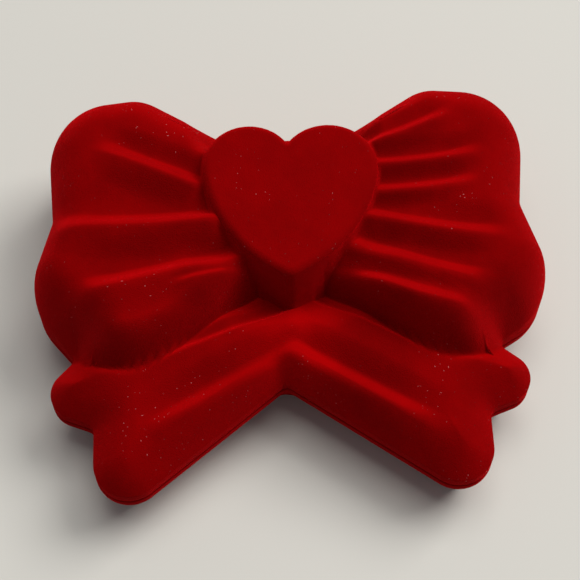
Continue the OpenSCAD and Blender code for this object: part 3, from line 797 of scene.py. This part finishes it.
def heartRings():
    rounding = heart["edgeRound"]
    edge = heartInside(rounding)
    rings = []
    for share in heart["domeShares"]:
        dome = heart["domed"] * (1 - share * share)
        rings.append(ring(mix(heartCentre, edge, share), heart["top"] + dome))
    for angle in np.radians(np.linspace(0, heart["edgeTurn"], heart["edgeRings"])):
        depth = rounding * (1 - math.sin(angle))
        rings.append(ring(heartInside(depth), heart["top"] - rounding * (1 - math.cos(angle))))
    return rings


# Rings at these insets from the rim, at the height that a surface has there
def insetRings(insets, surface):
    rings = []
    for inset in insets:
        plan = bowOutline(inset)
        rings.append(ring(plan, surface(plan, np.full(rimCount, float(inset)))))
    return rings


def outsideRings():
    rings = heartRings()
    wallTop = rings[-1]
    foot = lidTop(footLine, rimDistance(footLine))
    for share in heart["wallShares"]:
        plan = mix(wallTop[:, :2], footLine, share ** heart["flare"])
        rings.append(ring(plan, mix(wallTop[:, 2], foot, share)))
    outer = bowOutline(lid["edgeInsets"][0])
    for share in np.linspace(0, 1, lid["fieldRings"], endpoint=False):
        plan = mix(footLine, outer, share)
        rings.append(ring(plan, lidTop(plan, rimDistance(plan))))
    return rings + insetRings(lid["edgeInsets"], lidTop)


def rimRings(wallHead):
    low, rounding, wall = lid["rimZ"], lid["rimRound"], lid["wall"]
    curb = curbShare * rounding
    rings = [ring(rim, mix(wallHead, low + rounding, share)) for share in lid["wallShares"]]
    lip = [(curb, curb), (rounding, 0), (wall - rounding, 0), (wall - curb, curb), (wall, rounding)]
    return rings + [ring(bowOutline(inset), low + lift) for inset, lift in lip]


def insideRings():
    rings = insetRings((lid["wall"], *lid["ceilingInsets"]), lidCeiling)
    outer, inner = bowOutline(lid["ceilingInsets"][-1]), heartFoot(-heart["wall"])
    for share in np.linspace(0, 1, lid["ceilingRings"])[1:]:
        plan = mix(outer, inner, share)
        rings.append(ring(plan, lidCeiling(plan, rimDistance(plan))))
    rings.append(ring(heartFoot(-heart["wall"] - heart["spread"]), heart["top"] - heart["wall"]))
    return rings


def addLid():
    outside = outsideRings()
    rings = outside + rimRings(outside[-1][:, 2]) + insideRings()
    top, ceiling = heart["top"] + heart["domed"], heart["top"] - heart["wall"]
    points, faces = closedRings(rings, (*heartCentre, top), (*heartCentre, ceiling))
    return addPiece("lidShell", points, faces, "red_flock", "lid", ["lid_shell"])


lidPiece = addLid()
print("lid made with", len(lidPiece.data.vertices), "points")

# Base tray: a profile of inset and height carried round the outline

base = {
    "profile": [  # inset and height, from the floor inside over the rim to the underside
        (6.5, 1.8), (5.7, 1.85), (5.2, 2.1), (4.9, 2.6), (1.7, 10.4), (1.7, 11.75), (1.61, 11.93),
        (1.4, 12.0), (0.3, 12.0), (0.09, 11.93), (0.0, 11.75), (0.0, 10.7), (0.06, 10.2),
        (3.3, 1.6), (3.5, 0.95), (3.95, 0.35), (4.8, 0.0),
    ],
    "strapNotches": ((7.1, 10.5, 8.6), (3.9, 7.3, 10.0)),  # from x, to x, floor
    "cutter": 6.0,
}


def fixNormals(piece):
    form = bmesh.new()
    form.from_mesh(piece.data)
    bmesh.ops.recalc_face_normals(form, faces=form.faces)
    form.to_mesh(piece.data)
    form.free()


def applyModifiers(piece):
    bpy.context.view_layer.update()
    graph = bpy.context.evaluated_depsgraph_get()
    made = bpy.data.meshes.new_from_object(piece.evaluated_get(graph))
    piece.modifiers.clear()
    piece.data = made


def cutNotch(piece, left, right, floor):
    wide = base["cutter"]
    size = Vector((right - left, wide, wide)) * mm
    middle = (Vector(((left + right) / 2, bow["rearY"], floor + wide / 2)) + Vector(planShift)) * mm
    form = bmesh.new()
    bmesh.ops.create_cube(form, size=1)
    for vertex in form.verts:
        vertex.co = vertex.co * size + middle
    cutter = bpy.data.meshes.new("notchCutter")
    form.to_mesh(cutter)
    form.free()
    tool = bpy.data.objects.new("notchCutter", cutter)
    scene.collection.objects.link(tool)
    cut = piece.modifiers.new("notch", "BOOLEAN")
    cut.object = tool
    cut.operation = "DIFFERENCE"
    applyModifiers(piece)
    bpy.data.objects.remove(tool)


def addBase():
    rings = [ring(bowOutline(inset), height) for inset, height in base["profile"]]
    top, low = base["profile"][0][1], base["profile"][-1][1]
    points, faces = closedRings(rings, (*heartCentre, top), (*heartCentre, low))
    piece = addPiece("baseShell", points, faces, "red_flock", "base", ["base_shell"])
    for left, right, floor in base["strapNotches"]:
        cutNotch(piece, -right, -left, floor)
        cutNotch(piece, left, right, floor)
    return piece


basePiece = addBase()
print("base made with", len(basePiece.data.vertices), "points")

# Hinge blocks that the leaves are riveted to, one in the base and one in the lid

hingeBlock = {
    "halfWidth": 10.7,
    "front": 26.4,
    "base": (27.35, 29.45, 4.1, 8.6),  # rear face below and above, low, high
    "lid": (29.7, 29.7, 12.55, 17.3),
    "bevel": 0.35,
}


def addHingeBlock(name, body):
    front, halfWidth = hingeBlock["front"], hingeBlock["halfWidth"]
    rearLow, rearHigh, low, high = hingeBlock[body]
    section = [(front, low), (rearLow, low), (rearHigh, high), (front, high)]
    count = len(section)
    points = [(x, y, z) for x in (-halfWidth, halfWidth) for y, z in section]
    faces = [range(count), range(2 * count - 1, count - 1, -1)]
    faces += [(i, i + count, (i + 1) % count + count, (i + 1) % count) for i in range(count)]
    piece = addPiece(name, points, faces, "red_flock", body)
    fixNormals(piece)
    edges = piece.modifiers.new("edges", "BEVEL")
    edges.width = hingeBlock["bevel"] * mm
    edges.segments = 3


addHingeBlock("baseHingeBlock", "base")
addHingeBlock("lidHingeBlock", "lid")
print("hinge blocks made")

# Collar that the lid drops over, open at the hinge

collar = {
    "outer": 2.1,
    "thick": 1.2,
    "low": 9.55,
    "high": 14.0,
    "round": 0.4,
    "gapX": 16.2,
    "gapY": 23.0,
}


def addCollar():
    outer, inner = collar["outer"], collar["outer"] + collar["thick"]
    low, high, soft = collar["low"], collar["high"], collar["round"]
    curb = curbShare * soft
    outerSide = [(outer, low), (outer, high - soft), (outer + curb, high - curb), (outer + soft, high)]
    innerSide = [(inner - soft, high), (inner - curb, high - curb), (inner, high - soft), (inner, low)]
    section = outerSide + innerSide
    lines = [ring(bowOutline(inset), height) for inset, height in section]
    middle = bowOutline((outer + inner) / 2)
    kept = (np.abs(middle[:, 0]) > collar["gapX"]) | (middle[:, 1] < collar["gapY"])
    gap = np.flatnonzero(~kept)
    order = (np.arange(len(kept) - len(gap)) + gap[-1] + 1) % len(kept)
    count = len(order)
    points = np.vstack([line[order] for line in lines])
    along = np.arange(count - 1)
    faces = []
    for k in range(len(section)):
        a, b = k * count, (k + 1) % len(section) * count
        faces += np.stack([a + along, a + along + 1, b + along + 1, b + along], 1).tolist()
    starts = [k * count for k in range(len(section))]
    faces += [starts, [start + count - 1 for start in reversed(starts)]]
    piece = addPiece("baseCollar", points, faces, "red_flock", "base", ["base_collar"])
    fixNormals(piece)


addCollar()
print("collar made")

# Ring pad: velvet over foam, crowned, cut out for the hinge and for the two ring rolls

pad = {
    "inset": 4.4,
    "low": 5.3,
    "top": 10.4,
    "round": 3.2,
    "edge": 0.62,
    "hinge": (15.0, 23.0),  # half width and front of the cut-out
    "slot": (14.2, -1.4, 13.4),  # half width, front and rear
    "spacing": 0.9,
    "clear": 0.6,  # share of the spacing that stays free beside an edge
    "gridX": (-48, 48),
    "gridY": (-42, 40),
    "sag": 0.25,
    "waves": (0.33, 1.1, 0.29),  # across, shift, along
    "waveEdge": 8.0,
}


def loopPoints(corners, spacing):
    points = []
    for first, second in zip(corners, np.roll(corners, -1, 0)):
        steps = max(1, round(np.linalg.norm(second - first) / spacing))
        points.append(first + (second - first) * np.arange(steps)[:, None] / steps)
    return np.vstack(points)


def padOutline():
    outer = bowOutline(pad["inset"])
    wide, front = pad["hinge"]
    cut = (np.abs(outer[:, 0]) < wide) & (outer[:, 1] > front)
    first = np.flatnonzero(cut)[0]
    right, left = outer[:first], outer[np.flatnonzero(cut)[-1] + 1:]
    notch = np.array([(wide, right[-1][1]), (wide, front), (-wide, front), (-wide, left[0][1])])
    outline = np.vstack([right, notch, left])
    steps = np.linalg.norm(np.diff(outline, axis=0), axis=1)
    length = np.concatenate([[0], np.cumsum(steps)])
    places = np.linspace(0, length[-1], round(length[-1] / pad["spacing"]), endpoint=False)
    return np.column_stack([np.interp(places, length, outline[:, i]) for i in (0, 1)])


def insideLoop(points, loop):
    inside = np.zeros(len(points), bool)
    for first, second in zip(loop, np.roll(loop, -1, 0)):
        if first[1] != second[1]:
            spans = (first[1] > points[:, 1]) != (second[1] > points[:, 1])
            at = first[0] + (points[:, 1] - first[1]) / (second[1] - first[1]) * (second[0] - first[0])
            inside ^= spans & (points[:, 0] < at)
    return inside


# Triangles between outline and slot, with the distance of their points from an edge
def padPlan():
    outline, spacing = padOutline(), pad["spacing"]
    wide, front, rear = pad["slot"]
    slot = loopPoints(np.array([(-wide, front), (wide, front), (wide, rear), (-wide, rear)]), spacing)
    border = np.vstack([outline, slot])
    across, up = np.meshgrid(np.arange(*pad["gridX"], spacing), np.arange(*pad["gridY"], spacing))
    across[1::2] += spacing / 2
    grid = np.column_stack([across.ravel(), up.ravel()])
    grid = grid[insideLoop(grid, outline) & ~insideLoop(grid, slot)]
    grid = grid[nearest(grid, border) > pad["clear"] * spacing]
    count = len(outline)
    edges = [(i, (i + 1) % count) for i in range(count)]
    edges += [(count + i, count + (i + 1) % len(slot)) for i in range(len(slot))]
    made = delaunay_2d_cdt([Vector(point) for point in np.vstack([border, grid])], edges, [], 0, 1e-6)
    plan, triangles = np.array([tuple(point) for point in made[0]]), np.array(made[2])
    middles = plan[triangles].mean(1)
    triangles = triangles[insideLoop(middles, outline) & ~insideLoop(middles, slot)]
    return plan, triangles, nearest(plan, border)


def addPad():
    plan, triangles, depth = padPlan()
    low, top, sag = pad["low"], pad["top"], pad["sag"]
    across, shift, along = pad["waves"]
    ripple = np.sin(plan[:, 0] * across + shift) * np.cos(plan[:, 1] * along) * sag
    crown = mix(mix(low, top, pad["edge"]), top - sag, pillow(depth, pad["round"]))
    crown += ripple * smooth(depth / pad["waveEdge"])
    total = len(plan)
    points = np.vstack([ring(plan, crown), ring(plan, low)])
    faces = triangles.tolist() + (triangles[:, ::-1] + total).tolist()
    sides = dict.fromkeys(pair for a, b, c in triangles for pair in ((a, b), (b, c), (c, a)))
    faces += [(b, a, a + total, b + total) for a, b in sides if (b, a) not in sides]
    piece = addPiece("ringPad", points, faces, "ivory_velvet", "base", ["pad_cover", "pad_foam"])
    fixNormals(piece)
    return piece


padPiece = addPad()
print("ring pad made with", len(padPiece.data.vertices), "points")

# Ring rolls: foam cores in velvet, puckered at the ends, with the slit for rings between them

roll = {
    "radius": 3.55,
    "length": 28.0,
    "slitY": 6.0,
    "apart": 3.8,
    "middleZ": 8.87,
    "endRound": 2.0,
    "endRings": 9,
    "dimple": ((0.15, 1.0), (0.55, 0.45)),  # in from the end, radius
    "middleRings": 25,
    "around": 64,
    "puckers": 9,
    "puckerDeep": 0.16,
    "puckerRun": 4.0,
    "waveDeep": 0.05,
    "waveTurn": 1.3,
}


# Places along a roll, each with its radius
def rollStations():
    half, rounding, radius = roll["length"] / 2, roll["endRound"], roll["radius"]
    turns = np.radians(np.linspace(0, 90, roll["endRings"]))
    ends = list(zip(half - rounding + rounding * np.sin(turns), radius - rounding * (1 - np.cos(turns))))
    ends += [(half - inset, small) for inset, small in roll["dimple"]]
    straight = np.linspace(rounding - half, half - rounding, roll["middleRings"])[1:-1]
    return [(-x, r) for x, r in reversed(ends)] + [(x, radius) for x in straight] + ends


def addRoll(name, side, replaced):
    around = np.linspace(0, 2 * math.pi, roll["around"], endpoint=False)
    middleY, middleZ = roll["slitY"] + side * roll["apart"], roll["middleZ"]
    stations = rollStations()
    rings = []
    for x, radius in stations:
        tip = smooth((abs(x) - roll["length"] / 2 + roll["puckerRun"]) / roll["puckerRun"])
        pucker = roll["puckerDeep"] * tip * np.cos(around * roll["puckers"] + side) * min(1, radius)
        wave = roll["waveDeep"] * math.sin(x * roll["waveTurn"] + side) * (1 - tip)
        wavy = np.minimum(radius + pucker + wave, roll["radius"])
        section = np.column_stack([middleY + wavy * np.cos(around), middleZ + wavy * np.sin(around)])
        rings.append(np.column_stack([np.full(len(around), x), section]))
    ends = [(stations[i][0], middleY, middleZ) for i in (0, -1)]
    points, faces = closedRings(rings, *ends)
    piece = addPiece(name, points, faces, "ivory_velvet", "base", replaced)
    fixNormals(piece)


addRoll("frontRingRoll", -1, ["front_roll_cover", "front_roll_foam"])
addRoll("rearRingRoll", 1, ["rear_roll_cover", "rear_roll_foam"])
print("ring rolls made")

# Satin puff in the lid: gathered edge, full middle

puff = {
    "width": 57.0,
    "depth": 16.6,
    "corner": 6.5,
    "cornerPoints": 25,
    "middleY": 12.7,
    "top": 23.55,
    "low": 19.95,
    "skirt": 1.0,  # the gathered edge starts so far below the top
    "back": (((0.995, 0.99), 0.3), ((0.985, 0.96), 0.0)),  # size of the outline, below the top
    "spacing": 0.8,
    "spine": 19.0,  # half the line on which the rings close
    "edgeShares": (0, 0.12, 4),
    "faceShares": (0.16, 0.97, 22),
    "full": 0.75,
    "swell": 2.4,
    "gathers": ((64, 0.0, 1.0), (37, 1.3, 0.6)),  # count, shift, weight
    "gatherDeep": 0.35,
    "gatherLift": 0.5,
    "gatherWave": 0.35,
    "reachIn": 7.5,
    "gatherIn": 1.6,
    "gatherRun": 2.2,
}


def puffOutline():
    corner = puff["corner"]
    wide, deep = puff["width"] / 2 - corner, puff["depth"] / 2 - corner
    arcs = []
    for sx, sy, start in ((1, 1, 0), (-1, 1, 90), (-1, -1, 180), (1, -1, 270)):
        angles = np.radians(np.linspace(start, start + 90, puff["cornerPoints"]))
        arc = np.column_stack([np.cos(angles), np.sin(angles)]) * corner
        arcs.append(arc + (sx * wide, sy * deep))
    return loopPoints(np.vstack(arcs), puff["spacing"])


def addPuff():
    outline = puffOutline()
    steps = np.linalg.norm(np.roll(outline, -1, 0) - outline, axis=1)
    along = (np.cumsum(steps) - steps[0]) / steps.sum() * 2 * math.pi
    gathers = sum(weight * np.sin(along * count + shift) for count, shift, weight in puff["gathers"])
    lift = puff["gatherDeep"] * (puff["gatherLift"] + puff["gatherWave"] * gathers)
    spine = np.column_stack([np.clip(outline[:, 0], -puff["spine"], puff["spine"]), np.zeros(len(outline))])
    middle = np.array([0, puff["middleY"]])
    rings = []
    for share in np.concatenate([np.linspace(*puff["edgeShares"]), np.linspace(*puff["faceShares"])]):
        fall = (1 - (1 - min(1, share / puff["full"])) ** puff["swell"]) ** (1 / puff["swell"])
        fade = math.exp(-((share * puff["reachIn"] - puff["gatherIn"]) / puff["gatherRun"]) ** 2)
        height = mix(puff["top"] - puff["skirt"], puff["low"], fall) + lift * fade
        rings.append(ring(mix(outline, spine, share) + middle, np.maximum(height, puff["low"])))
    rings = rings[::-1]
    for size, under in puff["back"]:
        rings.append(ring(outline * size + middle, puff["top"] - under))
    points, faces = closedRings(rings, (*middle, puff["low"]), (*middle, puff["top"]))
    piece = addPiece("satinPuff", points, faces, "ivory_satin", "lid", ["lid_satin", "lid_wadding"])
    fixNormals(piece)


addPuff()
print("satin puff made")

# Foam tape pads between the puff's card and the lid

tapes = {
    "size": (8.0, 6.0),
    "x": 19.0,
    "y": 4.2,
    "low": 23.6,
    "high": 27.0,
    "cuts": 4,
    "squeeze": 0.04,
}


def addTapes():
    form = bmesh.new()
    for sx in (-1, 1):
        for sy in (-1, 1):
            made = bmesh.ops.create_cube(form, size=1)
            for vertex in made["verts"]:
                x, y, z = vertex.co
                vertex.co = (sx * tapes["x"] + x * tapes["size"][0],
                             puff["middleY"] + sy * tapes["y"] + y * tapes["size"][1],
                             mix(tapes["low"], tapes["high"], z + 0.5))
    bmesh.ops.subdivide_edges(form, edges=form.edges, cuts=tapes["cuts"], use_grid_fill=True)
    middleZ = (tapes["low"] + tapes["high"]) / 2
    for vertex in form.verts:
        waist = 1 - ((vertex.co.z - middleZ) / (tapes["high"] - middleZ)) ** 2
        sx, sy = math.copysign(1, vertex.co.x), math.copysign(1, vertex.co.y - puff["middleY"])
        centre = Vector((sx * tapes["x"], puff["middleY"] + sy * tapes["y"], vertex.co.z))
        vertex.co = centre + (vertex.co - centre) * (1 - tapes["squeeze"] * waist)
    form.verts.index_update()
    points = [tuple(vertex.co) for vertex in form.verts]
    faces = [[vertex.index for vertex in face.verts] for face in form.faces]
    form.free()
    piece = addPiece("foamTapePads", points, faces, "grey_foam", "lid", ["lid_board_tapes"])


addTapes()
print("tape pads made")

# Pieces that stay as they come: cards, hinge leaves, rivets and pins

cadLooks = {
    "pad_board": ("brown_card", 0.15),
    "lid_board": ("brown_card", 0.15),
    "hinge_base_leaf": ("hinge_brass", 0.1),
    "hinge_lid_leaf": ("hinge_brass", 0.1),
    "base_leaf_rivets": ("hinge_steel", 0.15),
    "lid_leaf_rivets": ("hinge_steel", 0.15),
    "hinge_pins": ("hinge_steel", 0.1),
}


def dressNodes():
    for name, (slot, bevel) in cadLooks.items():
        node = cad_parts[name]
        node.data.materials.clear()
        node.data.materials.append(finishes[slot])
        edges = node.modifiers.new("edges", "BEVEL")
        edges.width = bevel * mm
        edges.segments = 2
        edges.limit_method = "ANGLE"
        edges.harden_normals = True


dressNodes()
print("cards and hinge dressed")

# Stage: pale floor, a lamp high on the right, a weaker one overhead and a weak fill

stage = {
    "floorSize": 4.0,
    "floorColour": (0.64, 0.62, 0.56, 1),
    "floorGrain": 30,
    "worldColour": (0.9, 0.92, 1.0, 1),
    "worldStrength": 0.2,
    "lamps": [  # name, place, size, watts
        ("rightLamp", (0.85, 0.4, 1.2), 0.8, 16.0),
        ("topLamp", (0.1, 0.2, 1.4), 0.8, 8.0),
    ],
}


def addFloor():
    half = stage["floorSize"] / 2
    mesh = bpy.data.meshes.new("floor")
    corners = [(-half, -half, 0), (half, -half, 0), (half, half, 0), (-half, half, 0)]
    mesh.from_pydata(corners, [], [(0, 1, 2, 3)])
    floor = bpy.data.objects.new("floor", mesh)
    scene.collection.objects.link(floor)
    finish = Finish("paleFloor")
    grain = finish.noise(finish.place(), stage["floorGrain"], 3, 0.5)
    mesh.materials.append(finish.surface({
        "Base Color": stage["floorColour"],
        "Roughness": 0.6 + grain * 0.1,
        "Specular IOR Level": 0.2,
    }))


def addLights():
    world = bpy.data.worlds.new("studio")
    scene.world = world
    world.use_nodes = True
    background = world.node_tree.nodes["Background"]
    background.inputs["Color"].default_value = stage["worldColour"]
    background.inputs["Strength"].default_value = stage["worldStrength"]
    for name, place, size, watts in stage["lamps"]:
        data = bpy.data.lights.new(name, "AREA")
        data.size = size
        data.energy = watts
        lamp = bpy.data.objects.new(name, data)
        scene.collection.objects.link(lamp)
        lamp.location = place
        lamp.rotation_mode = "QUATERNION"
        lamp.rotation_quaternion = (-Vector(place)).to_track_quat("-Z", "Y")


addFloor()
addLights()
print("stage made")
